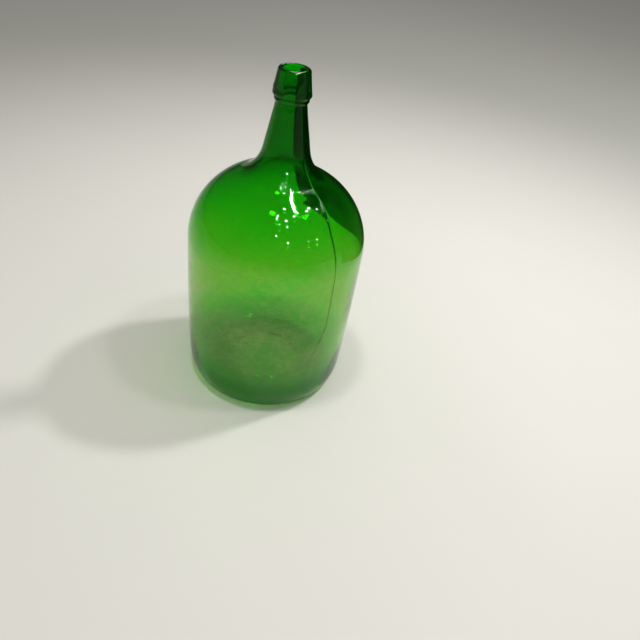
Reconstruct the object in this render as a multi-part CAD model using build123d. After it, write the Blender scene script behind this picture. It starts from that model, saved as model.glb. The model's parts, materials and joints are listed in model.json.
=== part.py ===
from build123d import *
import os
from math import asin, atan2, cos, degrees, radians, sin, tan

# Glass carboy of about nine and a half litres: a vessel blown in a two-part mould, with a
# string ring and a collar of glass laid by hand around the end of its neck.
# Frame: +Z up, origin at the centre of the circle it stands on. The two mould seams lie
# in the XZ plane. Millimetres and degrees. Outlines are drawn as (radius, height).

# Overall
HEIGHT = 420.0
BODY_RADIUS = 111.5  # the widest place, where the shoulder begins
GLASS = 4.0  # wall of the barrel, the shoulder and the neck

# Shoulder and neck, going up
SHOULDER_START = 208.5
SHOULDER_RADIUS = 93.0
SHOULDER_SWEEP = 66.0
FOOT_RADIUS = 50.0  # hollow curve at the foot of the neck
NECK_LEAN = 10.4
NECK_TOP = 384.0

# Barrel and heel, going down
BARREL_END = 34.0
BARREL_TAPER = 3.7  # the barrel is this much narrower where it ends
TUCK_RADIUS = 76.0
TUCK_ANGLE = 20.5

# Floor, as (radius, height) from its outside edge to its centre
STAND_RADIUS = 83.5  # inside edge of the ring that the vessel stands on
STAND_SLOPE = (-1.0, 0.3)  # direction of the underside as it leaves that ring
UNDERSIDE_POINTS = [(STAND_RADIUS, 0.0), (52.0, 2.8), (47.0, 4.6), (20.0, 6.8), (0.0, 7.6)]
FLOOR_HEIGHT = 9.0
INSIDE_POINTS = [(52.0, 10.4), (47.0, 12.2), (20.0, 14.0), (0.0, 15.0)]

# Mouth
BORE_RADIUS = 12.5
BORE_BOTTOM = 388.0
RIM_ROUND = 2.4
NECK_END_RADIUS = 15.0  # outside of the vessel's own neck at the rim
NECK_STEP_RADIUS = 17.0  # outside of the vessel's own neck under the ring

# String ring and collar
RING_BOTTOM = 384.8
RING_RADIUS = 19.8
RING_ROUND = 1.8
RING_TOP_RADIUS = 19.4
COLLAR_BOTTOM = 390.4
COLLAR_RADIUS = 22.0
COLLAR_RIM_RADIUS = 18.2
COLLAR_ROUND = 2.5  # of its lower edge and of the rim

# Mould seams
SEAM_HEIGHT = 0.4
SEAM_WIDTH = 1.0
SEAM_ROOT = 1.5  # how deep the seam's own solid reaches into the glass
SEAM_END_ANGLE = 212.0  # where the seam fades out, on the hollow curve of the neck's foot


def polar(centre, radius, angle):
    """The point at this radius and angle around a centre."""
    across = radius * cos(radians(angle))
    up = radius * sin(radians(angle))
    return (centre[0] + across, centre[1] + up)


# Centres of the arcs of the vessel's side. Each arc is tangent to the next one.
BARREL_DROP = SHOULDER_START - BARREL_END
BARREL_RADIUS = (BARREL_DROP**2 + BARREL_TAPER**2) / (2 * BARREL_TAPER)
BARREL_ANGLE = degrees(asin(BARREL_DROP / BARREL_RADIUS))
BARREL_CENTRE = (BODY_RADIUS - BARREL_RADIUS, SHOULDER_START)
SHOULDER_CENTRE = (BODY_RADIUS - SHOULDER_RADIUS, SHOULDER_START)
FOOT_CENTRE = polar(SHOULDER_CENTRE, SHOULDER_RADIUS + FOOT_RADIUS, SHOULDER_SWEEP)
TUCK_CENTRE = polar(BARREL_CENTRE, BARREL_RADIUS - TUCK_RADIUS, -BARREL_ANGLE)
HEEL_RADIUS = (TUCK_CENTRE[1] - TUCK_RADIUS * sin(radians(TUCK_ANGLE))) / (
    1 - sin(radians(TUCK_ANGLE))
)
HEEL_CENTRE = polar(TUCK_CENTRE, TUCK_RADIUS - HEEL_RADIUS, -TUCK_ANGLE)


def side(inset, foot_end):
    """Barrel, shoulder and foot of the neck, this far inside the outer surface."""
    foot_start = 180 + SHOULDER_SWEEP
    return [
        CenterArc(BARREL_CENTRE, BARREL_RADIUS - inset, -BARREL_ANGLE, BARREL_ANGLE),
        CenterArc(SHOULDER_CENTRE, SHOULDER_RADIUS - inset, 0, SHOULDER_SWEEP),
        CenterArc(FOOT_CENTRE, FOOT_RADIUS + inset, foot_start, foot_end - foot_start),
    ]


def neck_end_radius(height):
    """Radius of the bare end of the neck, which the ring and the collar are laid around."""
    rise = (height - RING_BOTTOM) / (HEIGHT - RING_BOTTOM)
    return NECK_STEP_RADIUS + (NECK_END_RADIUS - NECK_STEP_RADIUS) * rise


def solid_of_revolution(edges):
    return revolve(Plane.XZ * make_face(edges), Axis.Z)


def outer_edges():
    """From the ring that the vessel stands on, up its outside, to the top of the rim."""
    stand = (STAND_RADIUS, 0)
    heel = CenterArc(HEEL_CENTRE, HEEL_RADIUS, -90, 90 - TUCK_ANGLE)
    tuck = CenterArc(TUCK_CENTRE, TUCK_RADIUS, -TUCK_ANGLE, TUCK_ANGLE - BARREL_ANGLE)
    sides = side(0, 180 + NECK_LEAN)
    neck_start = sides[-1] @ 1
    narrowing = (NECK_TOP - neck_start.Y) * tan(radians(NECK_LEAN))
    neck = Polyline(
        neck_start,
        (neck_start.X - narrowing, NECK_TOP),
        (NECK_STEP_RADIUS, RING_BOTTOM),
        (NECK_END_RADIUS, HEIGHT),
    )
    return [Line(stand, heel @ 0), heel, tuck, *sides, neck]


def inner_edges():
    """From the centre of the floor, up the inside, to the top of the rim."""
    sides = side(GLASS, 180 + NECK_LEAN)
    wall_end = sides[0] @ 0
    corner_radius = (wall_end.Y - FLOOR_HEIGHT) / (1 - sin(radians(BARREL_ANGLE)))
    corner_centre = polar((wall_end.X, wall_end.Y), -corner_radius, -BARREL_ANGLE)
    corner = CenterArc(corner_centre, corner_radius, -90, 90 - BARREL_ANGLE)
    floor = Spline(corner @ 0, *INSIDE_POINTS, tangents=[(-1, 0), (-1, 0)])
    bore_start = (BORE_RADIUS, BORE_BOTTOM)
    throat = Spline(sides[-1] @ 1, bore_start, tangents=[sides[-1] % 1, (0, 1)])
    bore = Line(bore_start, (BORE_RADIUS, HEIGHT - RIM_ROUND))
    rim_centre = (BORE_RADIUS + RIM_ROUND, HEIGHT - RIM_ROUND)
    rim = CenterArc(rim_centre, RIM_ROUND, 180, -90)
    land = Line(rim @ 1, (NECK_END_RADIUS, HEIGHT))
    return [floor, corner, *sides, throat, bore, rim, land]


def seam_rib():
    """A thin raised line where the two halves of the mould met, on the +X side."""
    proud = side(-SEAM_HEIGHT, SEAM_END_ANGLE)
    root = side(SEAM_ROOT, SEAM_END_ANGLE)
    ends = [Line(proud[0] @ 0, root[0] @ 0), Line(proud[-1] @ 1, root[-1] @ 1)]
    face = Plane.XZ * make_face([*proud, *root, *ends])
    return extrude(face, SEAM_WIDTH / 2, both=True)


def blown_vessel():
    underside = Spline(*UNDERSIDE_POINTS, tangents=[STAND_SLOPE, (-1, 0)])
    axis = Line(UNDERSIDE_POINTS[-1], INSIDE_POINTS[-1])
    glass = solid_of_revolution([underside, *outer_edges(), *inner_edges(), axis])
    rib = seam_rib()
    return glass + rib + rib.rotate(Axis.Z, 180)


def string_ring():
    """The narrow band of glass under the collar."""
    low_in = (neck_end_radius(RING_BOTTOM), RING_BOTTOM)
    low_out = (RING_RADIUS - RING_ROUND, RING_BOTTOM)
    top_out = (RING_TOP_RADIUS, COLLAR_BOTTOM)
    top_in = (neck_end_radius(COLLAR_BOTTOM), COLLAR_BOTTOM)
    edge_centre = (RING_RADIUS - RING_ROUND, RING_BOTTOM + RING_ROUND)
    edge = CenterArc(edge_centre, RING_ROUND, -90, 90)
    outline = Polyline(edge @ 1, top_out, top_in, low_in, low_out)
    return solid_of_revolution([edge, outline])


def applied_collar():
    """The tapered lip, widest near its lower edge and rounded over at the rim."""
    low_in = (neck_end_radius(COLLAR_BOTTOM), COLLAR_BOTTOM)
    top_in = (NECK_END_RADIUS, HEIGHT)
    low_centre = (COLLAR_RADIUS - COLLAR_ROUND, COLLAR_BOTTOM + COLLAR_ROUND)
    rim_centre = (COLLAR_RIM_RADIUS - COLLAR_ROUND, HEIGHT - COLLAR_ROUND)
    narrowing = low_centre[0] - rim_centre[0]
    lean = degrees(atan2(narrowing, rim_centre[1] - low_centre[1]))
    low_edge = CenterArc(low_centre, COLLAR_ROUND, -90, 90 + lean)
    rim_edge = CenterArc(rim_centre, COLLAR_ROUND, lean, 90 - lean)
    outline = [
        Line(low_in, low_edge @ 0),
        low_edge,
        Line(low_edge @ 1, rim_edge @ 0),
        rim_edge,
        Polyline(rim_edge @ 1, top_in, low_in),
    ]
    return solid_of_revolution(outline)


PIECES = {
    "blown_vessel": blown_vessel,
    "string_ring": string_ring,
    "applied_collar": applied_collar,
}

os.makedirs("parts", exist_ok=True)
for name, build in PIECES.items():
    export_step(build(), f"parts/{name}.step")
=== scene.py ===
import json
from math import atan2, cos, degrees, hypot, pi, radians, sin, tan

import bpy
import numpy as np
from mathutils import Matrix, Vector


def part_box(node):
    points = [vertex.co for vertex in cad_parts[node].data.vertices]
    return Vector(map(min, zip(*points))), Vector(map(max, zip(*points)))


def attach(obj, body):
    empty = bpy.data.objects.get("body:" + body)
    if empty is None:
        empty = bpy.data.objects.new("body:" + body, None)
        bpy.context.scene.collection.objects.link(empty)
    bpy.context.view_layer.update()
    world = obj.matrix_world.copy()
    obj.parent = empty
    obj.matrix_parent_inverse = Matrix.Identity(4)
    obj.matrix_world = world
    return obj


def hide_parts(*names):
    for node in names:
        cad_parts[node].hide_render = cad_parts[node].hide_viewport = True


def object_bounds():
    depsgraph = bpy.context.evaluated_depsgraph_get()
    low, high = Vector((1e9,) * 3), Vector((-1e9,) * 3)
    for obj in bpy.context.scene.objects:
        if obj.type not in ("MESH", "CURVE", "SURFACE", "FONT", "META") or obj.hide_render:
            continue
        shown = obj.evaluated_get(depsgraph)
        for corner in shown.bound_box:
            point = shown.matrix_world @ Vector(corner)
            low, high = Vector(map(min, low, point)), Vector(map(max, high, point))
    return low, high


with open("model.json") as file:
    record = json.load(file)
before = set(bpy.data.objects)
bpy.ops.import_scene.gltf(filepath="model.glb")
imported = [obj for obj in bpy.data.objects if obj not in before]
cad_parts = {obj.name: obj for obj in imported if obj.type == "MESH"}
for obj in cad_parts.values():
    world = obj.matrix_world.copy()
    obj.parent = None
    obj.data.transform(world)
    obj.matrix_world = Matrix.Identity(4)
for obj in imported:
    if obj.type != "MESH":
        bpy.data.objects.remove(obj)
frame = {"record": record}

# The visual model of a glass carboy: three closed pieces of green glass, which take the
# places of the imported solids. Metres, +Z up, mould seams in the XZ plane.
CAD_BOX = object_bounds()

# ---------------------------------------------------------------- sizes from the frame
HEIGHT = CAD_BOX[1].z
BODY_RADIUS = CAD_BOX[1].y
RING_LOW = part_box("string_ring")[0].z
RING_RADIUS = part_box("string_ring")[1].x
COLLAR_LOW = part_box("applied_collar")[0].z
COLLAR_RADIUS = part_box("applied_collar")[1].x
MOUTH = next(m for m in frame["record"]["mounts"] if m["name"] == "mouth")
BORE_RADIUS = MOUTH["dims"]["r_mm"] / 1000

MM = 0.001


# ---------------------------------------------------------------- places seen from the camera
# Degrees from the -Y side round to the camera.
VIEW_HEADING = 48


def studio(x, y, z):
    """A place given as seen from the camera: x to the right, y away, in the row's frame."""
    a = radians(VIEW_HEADING)
    across = x * cos(a) - y * sin(a)
    ahead = x * sin(a) + y * cos(a)
    return Vector((across, ahead, z))


# ---------------------------------------------------------------- outline helpers
def polar(centre, radius, angle):
    """The point at this radius and angle, in degrees, around a centre."""
    across = radius * cos(radians(angle))
    up = radius * sin(radians(angle))
    return (centre[0] + across, centre[1] + up)


def arc(centre, radius, start, end, step=2 * MM):
    """Points along an arc, about step apart."""
    count = max(3, int(abs(radians(end - start)) * radius / step))
    angles = np.radians(np.linspace(start, end, count + 1))
    across = centre[0] + radius * np.cos(angles)
    up = centre[1] + radius * np.sin(angles)
    return np.stack([across, up], 1)


def line(start, end, step=2.5 * MM):
    """Points along a straight line, about step apart."""
    count = max(1, int(hypot(end[0] - start[0], end[1] - start[1]) / step))
    return np.linspace(start, end, count + 1)


def curve(points, step=2 * MM):
    """Points along a smooth curve through a few given points."""
    p = np.array(points, float)
    p = np.vstack([2 * p[0] - p[1], p, 2 * p[-1] - p[-2]])
    out = []
    for a, b, c, d in zip(p[:-3], p[1:-2], p[2:-1], p[3:]):
        count = max(2, int(np.linalg.norm(c - b) / step))
        t = np.linspace(0, 1, count + 1)[:-1, None]
        squared = (2 * a - 5 * b + 4 * c - d) * t**2
        cubed = (3 * b - a - 3 * c + d) * t**3
        out.append(0.5 * (2 * b + (c - a) * t + squared + cubed))
    return np.vstack([*out, p[-2:-1]])


def joined(*runs):
    """Runs of points end to end, with each shared end kept once."""
    out = [runs[0]]
    for run in runs[1:]:
        out.append(np.asarray(run)[1:])
    return np.vstack(out)


# ---------------------------------------------------------------- the carboy's outline
# Outside, from the table up. Angles are in degrees.
STAND_RADIUS = 83.5 * MM
TUCK_RADIUS = 76 * MM
TUCK_ANGLE = 20.5
BARREL_END = 34 * MM
BARREL_TAPER = 3.7 * MM
SHOULDER_START = 208.5 * MM
SHOULDER_RADIUS = 93 * MM
SHOULDER_SWEEP = 66
FOOT_RADIUS = 50 * MM
NECK_LEAN = 10.4
NECK_TOP = RING_LOW - 0.8 * MM
NECK_STEP_RADIUS = 17 * MM
NECK_END_RADIUS = 15 * MM

# The pushed-up base, as (radius, height) in millimetres: below from the middle out, and
# inside from the heel in. Both have the step that shows as a ring through the glass.
UNDERSIDE = ((0, 7.6), (12, 7.4), (22, 6.6), (45, 5.0), (51, 2.9), (66, 1.9))
FLOOR = ((70, 7.2), (54, 9.9), (47, 12.2), (22, 13.8), (12, 14.8), (0, 15))

# Thickness of the wall inside the outer surface.
HEEL_WALL = 4.6 * MM
BARREL_WALL = 2.8 * MM
NECK_FOOT_WALL = 6.8 * MM
NECK_TOP_WALL = 4.6 * MM

# The mouth. The ring and the collar stand JOINT_GAP off the neck and off each other, so
# that no two faces coincide.
BORE_LOW = MOUTH["pos_m"][2] - MOUTH["dims"]["length_mm"] / 2000
RIM_ROUND = 2.4 * MM
RING_ROUND = 1.8 * MM
RING_WAIST = 0.3 * MM
GROOVE_DEPTH = 1.2 * MM
COLLAR_ROUND = 2.5 * MM
COLLAR_TOP_RADIUS = 18.2 * MM
JOINT_GAP = 0.03 * MM

# Steps between the points of small roundings and of the joint.
FINE = 0.3 * MM
JOINT_STEP = 0.6 * MM

BARREL_DROP = SHOULDER_START - BARREL_END
BARREL_RADIUS = (BARREL_DROP**2 + BARREL_TAPER**2) / (2 * BARREL_TAPER)
BARREL_ANGLE = degrees(np.arcsin(BARREL_DROP / BARREL_RADIUS))
BARREL_CENTRE = (BODY_RADIUS - BARREL_RADIUS, SHOULDER_START)
SHOULDER_CENTRE = (BODY_RADIUS - SHOULDER_RADIUS, SHOULDER_START)
FOOT_CENTRE = polar(SHOULDER_CENTRE, SHOULDER_RADIUS + FOOT_RADIUS, SHOULDER_SWEEP)
TUCK_CENTRE = polar(BARREL_CENTRE, BARREL_RADIUS - TUCK_RADIUS, -BARREL_ANGLE)
TUCK_SINE = sin(radians(TUCK_ANGLE))
HEEL_RADIUS = (TUCK_CENTRE[1] - TUCK_RADIUS * TUCK_SINE) / (1 - TUCK_SINE)
HEEL_CENTRE = polar(TUCK_CENTRE, TUCK_RADIUS - HEEL_RADIUS, -TUCK_ANGLE)


def side(inset):
    """Barrel, shoulder and foot of the neck, this far inside the outer surface."""
    return joined(
        arc(BARREL_CENTRE, BARREL_RADIUS - inset, -BARREL_ANGLE, 0, 4 * MM),
        arc(SHOULDER_CENTRE, SHOULDER_RADIUS - inset, 0, SHOULDER_SWEEP),
        arc(FOOT_CENTRE, FOOT_RADIUS + inset, 180 + SHOULDER_SWEEP, 180 + NECK_LEAN),
    )


def fade(value, start, end):
    """0 before start, 1 after end, and smooth between. start may be the larger one."""
    t = np.clip((value - start) / (end - start), 0, 1)
    return t * t * (3 - 2 * t)


def wall_thickness(height):
    """Thickness of the glass along the side: thin in the barrel, thick up to the neck."""
    thinning = fade(height, 12 * MM, 80 * MM)
    rising = fade(height, 185 * MM, 320 * MM)
    easing = fade(height, 325 * MM, NECK_TOP)
    wall = HEEL_WALL + (BARREL_WALL - HEEL_WALL) * thinning
    wall = wall + (NECK_FOOT_WALL - BARREL_WALL) * rising
    return wall + (NECK_TOP_WALL - NECK_FOOT_WALL) * easing


def offset_inwards(run, wall):
    """The run of points moved to its left side by the wall at each point."""
    along = np.gradient(run, axis=0)
    along /= np.linalg.norm(along, axis=1)[:, None]
    return run + np.stack([-along[:, 1], along[:, 0]], 1) * wall[:, None]


def neck_end_radius(height):
    """Radius of the bare end of the neck, which the ring and the collar are laid around."""
    rise = (height - RING_LOW) / (HEIGHT - RING_LOW)
    return NECK_STEP_RADIUS + (NECK_END_RADIUS - NECK_STEP_RADIUS) * rise


class Outline:
    """An outline for a lathe, made of named runs end to end. The glass is on its left.
    It remembers which run each stretch came from and where the surface has a corner."""

    def __init__(self):
        self.points = []
        self.runs = []
        self.corners = []

    def add(self, name, run, corner=False):
        run = [tuple(p) for p in run]
        if self.points:
            if corner:
                self.corners.append(len(self.points) - 1)
            run = run[1:]
        self.runs += [name] * (len(run) if self.points else len(run) - 1)
        self.points += run
        return self


def vessel_outline():
    """From the middle of the underside, out and up to the mouth, and down inside."""
    pushed_up = [(r * MM, z * MM) for r, z in UNDERSIDE]
    underside = curve([*pushed_up, (STAND_RADIUS, 0)])
    heel = joined(
        arc(HEEL_CENTRE, HEEL_RADIUS, -90, -TUCK_ANGLE, 1 * MM),
        arc(TUCK_CENTRE, TUCK_RADIUS, -TUCK_ANGLE, -BARREL_ANGLE),
    )
    outer = side(0)
    lean = tan(radians(NECK_LEAN))
    neck_end = (outer[-1][0] - (NECK_TOP - outer[-1][1]) * lean, NECK_TOP)
    neck = line(outer[-1], neck_end)
    walled = joined(heel, outer, neck)
    inner = offset_inwards(walled, wall_thickness(walled[:, 1]))
    bore_low = (BORE_RADIUS, BORE_LOW)
    rim_centre = (BORE_RADIUS + RIM_ROUND, HEIGHT - RIM_ROUND)
    rim = arc(rim_centre, RIM_ROUND, 90, 180, FINE)
    floor = curve([inner[0], *((r * MM, z * MM) for r, z in FLOOR)])
    joint = line((NECK_STEP_RADIUS, RING_LOW), (NECK_END_RADIUS, HEIGHT), 1 * MM)
    made = Outline()
    made.add("underside", underside)
    made.add("stand", line((STAND_RADIUS, 0), heel[0]), corner=True)
    made.add("heel", heel).add("outside", outer).add("neck", neck)
    made.add("step", line(neck_end, joint[0]), corner=True)
    made.add("joint", joint, corner=True)
    made.add("rim", line(joint[-1], rim[0]), corner=True).add("rim", rim)
    made.add("bore", line(rim[-1], bore_low)).add("inside", [bore_low, *inner[::-1]])
    made.add("floor", floor)
    return made


def ring_outline():
    """The narrow band around the neck, with a waist under the collar."""
    low_in = (neck_end_radius(RING_LOW) + JOINT_GAP, RING_LOW)
    top = COLLAR_LOW - JOINT_GAP
    top_in = (neck_end_radius(top) + JOINT_GAP, top)
    edge_centre = (RING_RADIUS - RING_ROUND, RING_LOW + RING_ROUND)
    edge = arc(edge_centre, RING_ROUND, -90, 0, FINE)
    waist_points = [
        edge[-1],
        (RING_RADIUS, COLLAR_LOW - 2 * MM),
        (RING_RADIUS - RING_WAIST, COLLAR_LOW - 1 * MM),
        (RING_RADIUS - GROOVE_DEPTH, top),
    ]
    waist = curve(waist_points, FINE)
    made = Outline()
    made.add("low", line(low_in, edge[0], 0.4 * MM)).add("edge", edge).add("waist", waist)
    made.add("joint", line(waist[-1], top_in, JOINT_STEP), corner=True)
    made.add("joint", line(top_in, low_in, JOINT_STEP), corner=True)
    return made


def collar_outline():
    """The thick tapered lip, whose inner edge is the joint with the neck."""
    low_in = (neck_end_radius(COLLAR_LOW) + JOINT_GAP, COLLAR_LOW)
    top_in = (NECK_END_RADIUS + JOINT_GAP, HEIGHT)
    low_out = (RING_RADIUS - GROOVE_DEPTH, COLLAR_LOW)
    low_centre = (COLLAR_RADIUS - COLLAR_ROUND, COLLAR_LOW + COLLAR_ROUND)
    rim_centre = (COLLAR_TOP_RADIUS - COLLAR_ROUND, HEIGHT - COLLAR_ROUND)
    lean = degrees(atan2(low_centre[0] - rim_centre[0], rim_centre[1] - low_centre[1]))
    low_edge = arc(low_centre, COLLAR_ROUND, -90, lean, FINE)
    rim_edge = arc(rim_centre, COLLAR_ROUND, lean, 90, FINE)
    made = Outline()
    made.add("joint", line(low_in, low_out, JOINT_STEP))
    made.add("low", line(low_out, low_edge[0], FINE), corner=True).add("low", low_edge)
    made.add("side", line(low_edge[-1], rim_edge[0], 0.6 * MM)).add("rim", rim_edge)
    made.add("rim", line(rim_edge[-1], top_in, FINE))
    made.add("joint", line(top_in, low_in, 0.8 * MM), corner=True)
    return made


# ---------------------------------------------------------------- uneven surfaces
NEAR_SEAM = 0.0
FAR_SEAM = pi
SEAM_HEIGHT = 0.8 * MM
SEAM_HALF_WIDTH = 0.85 * MM
SEAM_SWELL_HEIGHT = 0.15 * MM
SEAM_SWELL_HALF_WIDTH = 7 * MM
FAR_SEAM_SHARE = 0.12

# The scar that the tool left on the collar, on the left as the camera sees it.
SCAR_ANGLE = radians(228)
SCAR_LEVEL = 400 * MM
SCAR_WIDTH = 1.8 * MM
SCAR_HEIGHT = 3.5 * MM
SCAR_DENT = 0.9 * MM
SCAR_BEAD = 0.7 * MM

# The sediment's thin middle lies a little to one side of the axis.
SEDIMENT_MIDDLE = studio(0.011, 0.004, 0)
BASE_STEP_RADIUS = 48 * MM


def around(count, extra=()):
    """Angles around the axis, closer together beside the mould seams."""
    angles = list(np.linspace(0, 2 * pi, count, endpoint=False))
    for seam in (NEAR_SEAM, FAR_SEAM):
        angles += [(seam + way * e) % (2 * pi) for e in extra for way in (-1, 1)]
    return np.array(sorted(set(np.round(angles, 6))))


def wobble(seed, theta, along, size, turns, length, waves=14):
    """Smooth unevenness about zero, the same after a full turn. Its waves are no shorter
    than length along the outline, and there are at most turns of them around it."""
    rng = np.random.default_rng(seed)
    total = np.zeros(np.broadcast(theta, along).shape)
    for _ in range(waves):
        turn = rng.integers(0, turns + 1)
        pace = rng.uniform(-2 * pi, 2 * pi) / length
        total += np.cos(turn * theta + pace * along + rng.uniform(0, 2 * pi))
    return size * total * (2 / waves) ** 0.5


def seam_twist(z):
    """How far, as an angle, the mould seams stray from a straight line at this height."""
    at_foot = radians(-5) * fade(z, 150 * MM, 95 * MM)
    at_neck = radians(6.5) * fade(z, 262 * MM, 310 * MM)
    return radians(-1.2) + at_foot + at_neck


def no_twist(z):
    """For the ring and the collar, which have no seams."""
    return 0 * z


def seam_ridge(r, z, theta):
    """The raised line left where the two halves of the mould met."""
    total = 0
    for seam, share in ((NEAR_SEAM, 1), (FAR_SEAM, FAR_SEAM_SHARE)):
        away = r * np.sin(theta - seam)
        ridge = SEAM_HEIGHT * np.exp(-((away / SEAM_HALF_WIDTH) ** 2))
        swell = SEAM_SWELL_HEIGHT * np.exp(-((away / SEAM_SWELL_HALF_WIDTH) ** 2))
        total = total + np.where(np.cos(theta - seam) > 0, share * (ridge + swell), 0)
    return total * fade(z, 80 * MM, 108 * MM) * fade(z, 345 * MM, 315 * MM)


def vessel_shape(run, r, z, theta, along):
    """Unevenness of the blown glass: calm outside where the mould was, livelier inside."""
    outside = np.isin(run, ["heel", "outside", "neck"])
    inside = np.isin(run, ["inside", "floor"])
    underside = np.isin(run, ["underside"])
    clear = fade(z, 2 * MM, 30 * MM) * fade(z, NECK_TOP, NECK_TOP - 20 * MM)
    skin = wobble(1, theta, along, size=0.10 * MM, turns=5, length=0.12)
    skin = skin + wobble(2, theta, along, size=0.012 * MM, turns=9, length=0.05)
    skin = skin + seam_ridge(r, z, theta)
    lining = wobble(3, theta, along, size=0.18 * MM, turns=4, length=0.16)
    lining = lining + wobble(4, theta, along, size=0.025 * MM, turns=9, length=0.06)
    lining = lining * fade(r, 0, 40 * MM) * fade(z, 385 * MM, 350 * MM)
    pushed = wobble(5, theta, along, size=0.12 * MM, turns=3, length=0.05)
    pushed = pushed * fade(r, 0, 20 * MM) * fade(r, STAND_RADIUS, 60 * MM)
    return outside * clear * skin + inside * lining + underside * pushed


def lip_shape(run, r, z, theta, along):
    """Tooled glass at the mouth, with the scar as a dent and a bead beside it."""
    outside = np.isin(run, ["low", "edge", "waist", "side", "rim"])
    deep = fade(r, NECK_END_RADIUS + 0.1 * MM, 18 * MM)
    tooling = wobble(8, theta, along, size=0.12 * MM, turns=5, length=0.03)
    far_side = (np.cos(theta - SCAR_ANGLE) < 0) * 100 * MM
    away = far_side + COLLAR_RADIUS * np.sin(theta - SCAR_ANGLE)
    up = ((z - SCAR_LEVEL) / SCAR_HEIGHT) ** 2
    dent = np.exp(-((away / SCAR_WIDTH) ** 2) - up)
    bead = np.exp(-(((away - SCAR_WIDTH) / SCAR_WIDTH) ** 2) - up)
    return outside * deep * (tooling + SCAR_BEAD * bead - SCAR_DENT * dent)


def vessel_grime(run, r, z, theta, along):
    """Where dust has dried: on the barrel, more inside than outside, and on its floor."""
    inside = np.isin(run, ["inside", "floor"])
    cloud = 0.88 + wobble(11, theta, along, size=0.1, turns=5, length=0.07)
    cloud = cloud + wobble(12, theta, along, size=0.06, turns=14, length=0.03)
    barrel = fade(z, 285 * MM, 180 * MM) * np.clip(cloud, 0.1, 1)
    barrel = barrel * (0.15 + 0.85 * fade(z, 30 * MM, 95 * MM))
    off_x = r * np.cos(theta) - SEDIMENT_MIDDLE.x
    off_y = r * np.sin(theta) - SEDIMENT_MIDDLE.y
    middle = np.hypot(off_x, off_y)
    sediment = fade(z, 26 * MM, 12 * MM) * fade(r, 95 * MM, 70 * MM)
    sediment = sediment * (0.55 + 0.35 * fade(middle, 8 * MM, 30 * MM))
    line_at_step = 0.5 * np.exp(-(((r - BASE_STEP_RADIUS) / (2 * MM)) ** 2))
    rings = 0.3 * np.cos(middle / (1.8 * MM)) + line_at_step
    rings = rings * fade(r, 62 * MM, 52 * MM)
    on_floor = inside * (sediment + sediment * rings)
    return (0.6 + 0.4 * inside) * np.maximum(barrel * (1 - sediment), on_floor)


def no_grime(run, r, z, theta, along):
    """For the ring and the collar, which are clean."""
    return 0 * r * theta


# ---------------------------------------------------------------- meshes
def lathe(outline, theta, shape, twist, grime):
    """Points and faces turned from an outline. shape() gives the unevenness of the surface,
    twist() turns each height about the axis, and grime() gives the dust on each point. An
    outline that starts on the axis ends on it too, and any other one is a closed loop."""
    points = np.array(outline.points)
    runs = list(outline.runs)
    corners = list(outline.corners)
    steps = np.linalg.norm(np.diff(points, axis=0), axis=1)
    along = np.concatenate([[0], np.cumsum(steps)])
    on_axis = points[0][0] < 1e-6
    if on_axis:
        tangent = np.gradient(points, axis=0)
    else:
        points = points[:-1]
        along = along[:-1]
        corners.append(0)
        tangent = np.roll(points, -1, 0) - np.roll(points, 1, 0)
    tangent /= np.linalg.norm(tangent, axis=1)[:, None]
    normal = np.stack([tangent[:, 1], -tangent[:, 0]], 1)
    at = np.array([*runs, runs[-1]][: len(points)])[:, None]
    where = (at, points[:, :1], points[:, 1:], theta[None, :], along[:, None])
    rise = shape(*where)
    r = points[:, :1] + normal[:, :1] * rise
    z = points[:, 1:] + normal[:, 1:] * rise
    turned = theta + twist(z)
    grid = np.stack([r * np.cos(turned), r * np.sin(turned), z], -1)
    ids = np.arange(r.size).reshape(r.shape)
    if on_axis:
        ids[[0, -1]] = ids[[0, -1], :1]
    kept, ids = np.unique(ids, return_inverse=True)
    ids = ids.reshape(r.shape)
    if not on_axis:
        ids = np.vstack([ids, ids[:1]])
    beside = np.roll(ids, -1, 1)
    quads = np.stack([ids[:-1], beside[:-1], beside[1:], ids[1:]], -1)
    dust = np.broadcast_to(grime(*where), r.shape)
    return {
        "points": grid.reshape(-1, 3)[kept],
        "faces": [tuple(dict.fromkeys(quad)) for quad in quads.reshape(-1, 4).tolist()],
        "joint": np.repeat([float(run == "joint") for run in runs], len(theta)),
        "grime": dust.reshape(-1)[kept],
        "row": kept // len(theta),
        "corners": corners,
    }


BUBBLE_WIDTH = 1.6 * MM
BUBBLE_DEPTH = 0.35 * MM


def bubble(centre, outward, wide, deep):
    """A flattened bubble of air in the glass. Its faces look in, away from the glass."""
    turn = Vector(outward).to_track_quat("Z", "Y").to_matrix()
    rings = 5
    spokes = 8
    points = [(0, 0, deep)]
    for i in range(1, rings):
        tilt = pi * i / rings
        reach = wide * sin(tilt)
        for j in range(spokes):
            a = 2 * pi * j / spokes
            points.append((reach * cos(a), reach * sin(a), deep * cos(tilt)))
    points.append((0, 0, -deep))
    faces = []
    last = len(points) - 1
    for j in range(spokes):
        k = (j + 1) % spokes
        faces.append((0, 1 + k, 1 + j))
        for i in range(rings - 2):
            low = 1 + i * spokes
            high = low + spokes
            faces.append((low + j, low + k, high + k, high + j))
        end = 1 + (rings - 2) * spokes
        faces.append((end + j, end + k, last))
    placed = [Vector(centre) + turn @ Vector(p) for p in points]
    return placed, faces


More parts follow.
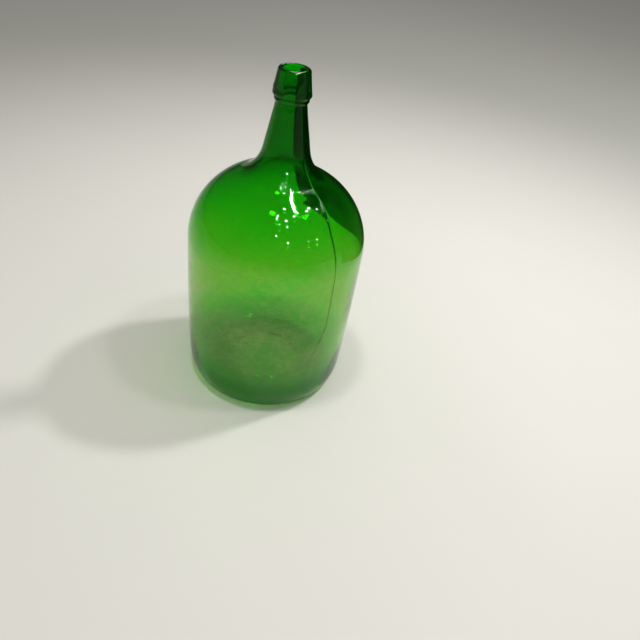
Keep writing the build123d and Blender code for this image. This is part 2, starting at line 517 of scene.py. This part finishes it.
def add_bubbles(surface, count):
    """Small bubbles half-way through the wall of the barrel, the shoulder and the neck."""
    rng = np.random.default_rng(21)
    wall_line = side(0)
    middle = offset_inwards(wall_line, wall_thickness(wall_line[:, 1]) / 2)
    outward = middle - wall_line
    outward /= -np.linalg.norm(outward, axis=1)[:, None]
    for _ in range(count):
        i = rng.integers(2, len(middle) - 2)
        a = rng.uniform(0, 2 * pi)
        centre = (middle[i][0] * cos(a), middle[i][0] * sin(a), middle[i][1])
        normal = (outward[i][0] * cos(a), outward[i][0] * sin(a), outward[i][1])
        wide = rng.uniform(0.35, 0.9) ** 2 * BUBBLE_WIDTH
        points, faces = bubble(centre, normal, wide, min(wide, BUBBLE_DEPTH))
        start = len(surface["points"])
        surface["points"] = np.vstack([surface["points"], [tuple(p) for p in points]])
        surface["faces"] += [tuple(start + v for v in face) for face in faces]
        surface["joint"] = np.append(surface["joint"], np.zeros(len(faces)))
        surface["grime"] = np.append(surface["grime"], np.zeros(len(points)))
        surface["row"] = np.append(surface["row"], np.full(len(points), -1))


def make_piece(name, surface, material):
    """The mesh object, with sharp edges at its corners and marks for the material."""
    mesh = bpy.data.meshes.new(name)
    mesh.from_pydata(surface["points"].tolist(), [], surface["faces"])
    mesh.update(calc_edges=True)
    mesh.shade_smooth()
    ends = np.empty(len(mesh.edges) * 2, int)
    mesh.edges.foreach_get("vertices", ends)
    start_row = surface["row"][ends[0::2]]
    end_row = surface["row"][ends[1::2]]
    sharp = (start_row == end_row) & np.isin(start_row, surface["corners"])
    for mark, kind, where, values in (
        ("sharp_edge", "BOOLEAN", "EDGE", sharp),
        ("joint", "FLOAT", "FACE", surface["joint"]),
        ("grime", "FLOAT", "POINT", surface["grime"]),
    ):
        mesh.attributes.new(mark, kind, where).data.foreach_set("value", values)
    mesh.materials.append(material)
    piece = bpy.data.objects.new(name, mesh)
    bpy.context.scene.collection.objects.link(piece)
    return piece


# ---------------------------------------------------------------- materials
class Shader:
    """A new material, with short ways to add the nodes used here. Each value of an input
    is a constant or the output that it is linked to."""

    def __init__(self, name):
        self.material = bpy.data.materials.new(name)
        self.material.use_nodes = True
        self.nodes = self.material.node_tree.nodes
        self.nodes.clear()
        self.links = self.material.node_tree.links

    def set(self, node, values):
        for name, value in values.items():
            if isinstance(value, bpy.types.NodeSocket):
                self.links.new(value, node.inputs[name])
            else:
                node.inputs[name].default_value = value
        return node

    def add(self, kind, values=None):
        return self.set(self.nodes.new("ShaderNode" + kind), values or {})

    def attribute(self, name):
        node = self.add("Attribute")
        node.attribute_name = name
        return node.outputs["Fac"]

    def place(self):
        return self.add("TexCoord").outputs["Object"]

    def scaled(self, value, start=0, end=1, low=0, high=1, smooth=False):
        """A value from start to end, brought to the span from low to high."""
        span = {"From Min": start, "From Max": end, "To Min": low, "To Max": high}
        node = self.add("MapRange")
        if smooth:
            node.interpolation_type = "SMOOTHSTEP"
        return self.set(node, {**span, "Value": value}).outputs["Result"]

    def product(self, a, b, clamp=False):
        node = self.add("Math")
        node.operation = "MULTIPLY"
        node.use_clamp = clamp
        return self.set(node, {0: a, 1: b}).outputs["Value"]

    def mix(self, a, b, factor):
        """Colour a, which becomes b as the factor goes from 0 to 1."""
        node = self.add("Mix")
        node.data_type = "RGBA"
        return self.set(node, {"A": a, "B": b, "Factor": factor}).outputs["Result"]

    def finish(self, surface, volume=None):
        out = self.add("OutputMaterial", {"Surface": surface})
        if volume:
            self.set(out, {"Volume": volume})
        return self.material


# Reflections are weaker than real glass has, to match the photograph.
GLASS_IOR = 1.5
NO_BENDING = 1.0
GLASS_REFLECTION = (0.72, 0.76, 0.68, 1)
GLASS_DEPTH_COLOUR = (0.72, 0.82, 0.0, 1)
GLASS_DENSITY = 300
LAMP_LIGHT_THROUGH = (0.53, 0.44, 0.48, 1)

# The tint that each surface adds to the colour of the glass's depth, by height, with painted
# shade in it: darker at the heel for the shade under the carboy and at the neck for the dim
# room behind it.
HEEL_TINT_AND_PAINTED_SHADE = (0.04, 0.66, 0.02, 1)
BARREL_TINT = (0.06, 0.89, 0.06, 1)
NECK_TINT_AND_PAINTED_SHADE = (0.02, 0.53, 0.02, 1)
COLLAR_TINT = (0.04, 0.78, 0.04, 1)
TINTS = (
    (18 * MM, HEEL_TINT_AND_PAINTED_SHADE),
    (62 * MM, BARREL_TINT),
    (270 * MM, BARREL_TINT),
    (340 * MM, NECK_TINT_AND_PAINTED_SHADE),
    (376 * MM, NECK_TINT_AND_PAINTED_SHADE),
    (388 * MM, COLLAR_TINT),
)

DUST = (1.0, 0.97, 0.55, 1)
SEDIMENT = (0.5, 0.42, 0.01, 1)
SPECK = (0.02, 0.03, 0.01, 1)
STREAK_STRETCH = (1, 1, 2.2)
MOTTLE_SCALE = 120
SPECK_SCALE = 55
CLEAN_TRANSMISSION = 0.985
DUSTY_TRANSMISSION = 0.77
DUSTY_ROUGHNESS = 0.05


def tint_by_height(shader, height):
    """The clean glass's colour at each height, darkened at the heel and the neck as painted
    shade.
    """
    ramp = shader.add("ValToRGB", {"Fac": shader.scaled(height, end=HEIGHT)})
    ramp.color_ramp.interpolation = "EASE"
    stops = ramp.color_ramp.elements
    while len(stops) < len(TINTS):
        stops.new(0.5)
    for stop, (level, colour) in zip(stops, TINTS):
        stop.position = level / HEIGHT
        stop.color = colour
    return ramp.outputs["Color"]


def green_glass():
    """Bottle glass, green through its depth, with a thin patchy film of dust on it. The
    joint faces bend no light, so that the pieces look fused."""
    shader = Shader("green_glass")
    place = shader.place()
    height = shader.add("SeparateXYZ", {"Vector": place}).outputs["Z"]
    grime = shader.attribute("grime")

    streaks = shader.add("Mapping", {"Vector": place, "Scale": STREAK_STRETCH})
    mottle = shader.add(
        "TexNoise",
        {
            "Vector": streaks.outputs["Vector"],
            "Scale": MOTTLE_SCALE,
            "Detail": 6,
            "Roughness": 0.65,
        },
    )
    patches = shader.scaled(mottle.outputs["Fac"], start=0.36, end=0.62, low=0.6, high=1.22)
    film = shader.product(grime, patches, clamp=True)

    down_to_floor = shader.scaled(height, start=20 * MM, end=9 * MM, smooth=True)
    dirt = shader.mix(DUST, SEDIMENT, down_to_floor)
    tint = shader.mix(tint_by_height(shader, height), dirt, film)
    cells = shader.add("TexVoronoi", {"Vector": place, "Scale": SPECK_SCALE})
    specks = shader.scaled(cells.outputs["Distance"], start=0.05, end=0.03)
    spotted = shader.mix(tint, SPECK, shader.product(specks, grime))

    glass = shader.add(
        "BsdfPrincipled",
        {
            "Base Color": spotted,
            "IOR": shader.scaled(shader.attribute("joint"), low=GLASS_IOR, high=NO_BENDING),
            "Specular Tint": GLASS_REFLECTION,
            "Roughness": shader.scaled(film, high=DUSTY_ROUGHNESS),
            "Transmission Weight": shader.scaled(
                film, low=CLEAN_TRANSMISSION, high=DUSTY_TRANSMISSION
            ),
        },
    )

    # A shadow ray passes, dimmed, so that the lamps light the floor through the glass.
    lamp_light = shader.add("BsdfTransparent", {"Color": LAMP_LIGHT_THROUGH})
    is_shadow = shader.add("LightPath").outputs["Is Shadow Ray"]
    lit = shader.add(
        "MixShader",
        {0: is_shadow, 1: glass.outputs["BSDF"], 2: lamp_light.outputs["BSDF"]},
    )
    depth = shader.add(
        "VolumeAbsorption", {"Color": GLASS_DEPTH_COLOUR, "Density": GLASS_DENSITY}
    )
    return shader.finish(lit.outputs["Shader"], depth.outputs["Volume"])


FLOOR_DARKER = (0.74, 0.725, 0.67, 1)
FLOOR_LIGHTER = (0.77, 0.755, 0.70, 1)
# The far colour is painted shade: the floor darkens to it between the near and far edges, as
# the light falls off away from the carboy.
FLOOR_PAINTED_FALLOFF = (0.42, 0.415, 0.38, 1)
FLOOR_NEAR_EDGE = 0.4
FLOOR_FAR_EDGE = 1.7
FELT = (0.004, 0.004, 0.004, 1)


def floor_paint():
    """Pale matt paint, faintly cloudy, with painted shade that darkens it away from the carboy,
    as falling light would.
    """
    shader = Shader("pale_floor")
    place = shader.place()
    cloud = shader.add("TexNoise", {"Vector": place, "Scale": 3})
    tone = shader.mix(FLOOR_DARKER, FLOOR_LIGHTER, cloud.outputs["Fac"])
    away = shader.add("VectorMath")
    away.operation = "LENGTH"
    shader.set(away, {0: place})
    distance = away.outputs["Value"]
    # Painted shade: the floor darkens with distance from the carboy.
    painted_falloff = shader.scaled(distance, FLOOR_NEAR_EDGE, FLOOR_FAR_EDGE, smooth=True)
    paint = shader.add(
        "BsdfPrincipled",
        {
            "Base Color": shader.mix(tone, FLOOR_PAINTED_FALLOFF, painted_falloff),
            "Roughness": 0.8,
            "Specular IOR Level": 0.1,
        },
    )
    return shader.finish(paint.outputs["BSDF"])


def black_felt():
    shader = Shader("black_felt")
    felt = shader.add("BsdfDiffuse", {"Color": FELT})
    return shader.finish(felt.outputs["BSDF"])


# ---------------------------------------------------------------- studio
# The photograph's camera, as solved from the carboy's outline. Angles are in degrees.
LENS = 34.08
SENSOR_WIDTH = 36
CAMERA_PITCH = 38.58
CAMERA_ROLL = 10.0
CAMERA_YAW = 6.23
CAMERA_BACK = 1.587 * HEIGHT
CAMERA_UP = 1.4703 * HEIGHT

CEILING = 1.9
FLOOR_HALF = 20
FLOOR_LEVEL = -0.1 * MM
CARD_LEFT = studio(0.045, 0.54, 0)
CARD_RIGHT = studio(0.975, -0.075, 0)
CARD_HEIGHT = 1.1
SKY_COLOUR = (1, 0.985, 0.95, 1)
SKY_GLOW = 0.46
SKY_REFLECTION = 0.05


def link(thing):
    bpy.context.scene.collection.objects.link(thing)
    return thing


def make_camera():
    data = bpy.data.cameras.new("camera")
    data.sensor_width = SENSOR_WIDTH
    data.lens = LENS
    camera = link(bpy.data.objects.new("camera", data))
    pitch = radians(CAMERA_PITCH)
    roll = radians(CAMERA_ROLL)
    yaw = radians(CAMERA_YAW)
    ahead = studio(sin(yaw) * cos(pitch), cos(yaw) * cos(pitch), -sin(pitch))
    across = studio(cos(yaw), -sin(yaw), 0)
    above = across.cross(ahead)
    right = across * cos(roll) + above * sin(roll)
    top = above * cos(roll) - across * sin(roll)
    turn = Matrix((right, top, -ahead)).transposed().to_4x4()
    camera.matrix_world = Matrix.Translation(studio(0, -CAMERA_BACK, CAMERA_UP)) @ turn
    bpy.context.scene.camera = camera


def sheet(name, corners, material):
    """A stage object of one flat face."""
    mesh = bpy.data.meshes.new(name)
    mesh.from_pydata(corners, [], [(0, 1, 2, 3)])
    mesh.materials.append(material)
    made = link(bpy.data.objects.new(name, mesh))
    return made


def make_floor():
    half = FLOOR_HALF
    corners = [(-half, -half, 0), (half, -half, 0), (half, half, 0), (-half, half, 0)]
    floor = sheet("floor", corners, floor_paint())
    floor.location.z = FLOOR_LEVEL


def make_dark_card():
    """A black card behind on the right, seen only in the glass, which darkens its edges."""
    up = Vector((0, 0, CARD_HEIGHT))
    corners = [CARD_LEFT, CARD_RIGHT, CARD_RIGHT + up, CARD_LEFT + up]
    card = sheet("dark_card", corners, black_felt())
    card.visible_camera = False
    card.visible_diffuse = False
    card.visible_shadow = False


def make_world():
    """Even pale light all round, which the glass reflects only faintly, as in a dim room."""
    world = bpy.data.worlds.new("world")
    bpy.context.scene.world = world
    world.use_nodes = True
    nodes = world.node_tree.nodes
    links = world.node_tree.links
    sky = nodes["Background"]
    sky.inputs["Color"].default_value = SKY_COLOUR
    path = nodes.new("ShaderNodeLightPath")
    strength = nodes.new("ShaderNodeMapRange")
    strength.inputs["To Min"].default_value = SKY_GLOW
    strength.inputs["To Max"].default_value = SKY_REFLECTION
    links.new(path.outputs["Is Glossy Ray"], strength.inputs["Value"])
    links.new(strength.outputs["Result"], sky.inputs["Strength"])


def ceiling_lamp(name, x, y, size, glow):
    """A round lamp facing down, with this much light from each bit of its surface."""
    data = bpy.data.lights.new(name, "AREA")
    data.size = size
    data.shape = "DISK"
    area = pi * size**2 / 4
    data.energy = glow * pi * area
    lamp = link(bpy.data.objects.new(name, data))
    lamp.location = studio(x, y, CEILING)
    lamp.rotation_euler.z = radians(VIEW_HEADING)
    return lamp


ROOM_LAMP_SIZE = 0.2
ROOM_LAMPS = (
    ("key", 1.16, 0.5, 230),
    ("second", 0.75, -0.1, 50),
    ("third", -0.2, -0.2, 70),
)
RIM_LIGHT_PLACE = (0.4, 3.4)
RIM_LIGHT_SIZE = 1.0
RIM_LIGHT_GLOW = 18


def make_room_lamps():
    """The lamps that light the floor. The glass doesn't reflect them."""
    for name, x, y, glow in ROOM_LAMPS:
        lamp = ceiling_lamp(name, x, y, ROOM_LAMP_SIZE, glow)
        lamp.visible_glossy = False


def make_rim_light():
    """A wide lamp far behind, which only the rim of the mouth reflects to the camera."""
    lamp = ceiling_lamp("rim_light", *RIM_LIGHT_PLACE, RIM_LIGHT_SIZE, RIM_LIGHT_GLOW)
    lamp.visible_diffuse = False
    lamp.visible_transmission = False


# Where the small lamps hang, as seen from the camera: x to the right, y away.
ROW_START = (0.28, 0.36)
ROW_STEP = (0.026, -0.08)
ROW_COUNT = 7
NEAR_SPOTS = (
    (0.34, -1.0),
    (0.11, -0.12),
    (-0.07, -0.48),
    (-0.1, -0.64),
    (0, -0.94),
    (0.24, -0.67),
    (0.47, -0.4),
    (0.55, -0.17),
    (0.82, 0.05),
    (1.13, 0.35),
    (1.3, 0.47),
    (0.86, 0.26),
    (0.92, 0.78),
    (-0.05, -1.7),
)
FAR_SPOTS = (
    (1.94, -1.76),
    (2.46, -1.4),
    (0.66, -2.2),
    (5.0, 3.1),
    (6.2, -0.5),
    (6.0, 0.1),
)
ROW_SIZE = 0.08
NEAR_SIZE = 0.055
FAR_SIZE = 0.1
SPOT_GLOW = 220


def make_spots():
    """Small bright lamps that show only in the glass: a row of them, and scattered ones."""
    row = [
        (ROW_START[0] + ROW_STEP[0] * i, ROW_START[1] + ROW_STEP[1] * i)
        for i in range(ROW_COUNT)
    ]
    spots = [(place, ROW_SIZE) for place in row]
    spots += [(place, NEAR_SIZE) for place in NEAR_SPOTS]
    spots += [(place, FAR_SIZE) for place in FAR_SPOTS]
    for i, ((x, y), size) in enumerate(spots):
        spot = ceiling_lamp(f"spot_{i}", x, y, size, SPOT_GLOW)
        spot.visible_diffuse = False


# ---------------------------------------------------------------- putting it together
VESSEL_COLUMNS = 156
LIP_COLUMNS = 160
BUBBLE_COUNT = 70
# Extra columns on both sides of each seam, at these angles from it.
SEAM_STEPS = np.radians(np.arange(0.15, 1.3, 0.15))

vessel = lathe(
    vessel_outline(), around(VESSEL_COLUMNS, SEAM_STEPS), vessel_shape, seam_twist, vessel_grime
)
ring = lathe(ring_outline(), around(LIP_COLUMNS), lip_shape, no_twist, no_grime)
collar = lathe(collar_outline(), around(LIP_COLUMNS), lip_shape, no_twist, no_grime)
add_bubbles(vessel, BUBBLE_COUNT)

glass = green_glass()
for name, surface, node, slot in (
    ("vessel", vessel, "blown_vessel", "vessel_glass"),
    ("ring", ring, "string_ring", "ring_glass"),
    ("collar", collar, "applied_collar", "collar_glass"),
):
    piece = make_piece(name, surface, glass)
    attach(piece, "root")
    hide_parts(node)

make_floor()
make_dark_card()
make_camera()
make_room_lamps()
make_rim_light()
make_spots()
make_world()

# Enough bounces for light to cross the whole bottle, wall after wall.
view = bpy.context.scene
view.view_settings.view_transform = "Standard"
view.cycles.max_bounces = 24
view.cycles.transmission_bounces = 24
view.cycles.glossy_bounces = 12
view.cycles.transparent_max_bounces = 16
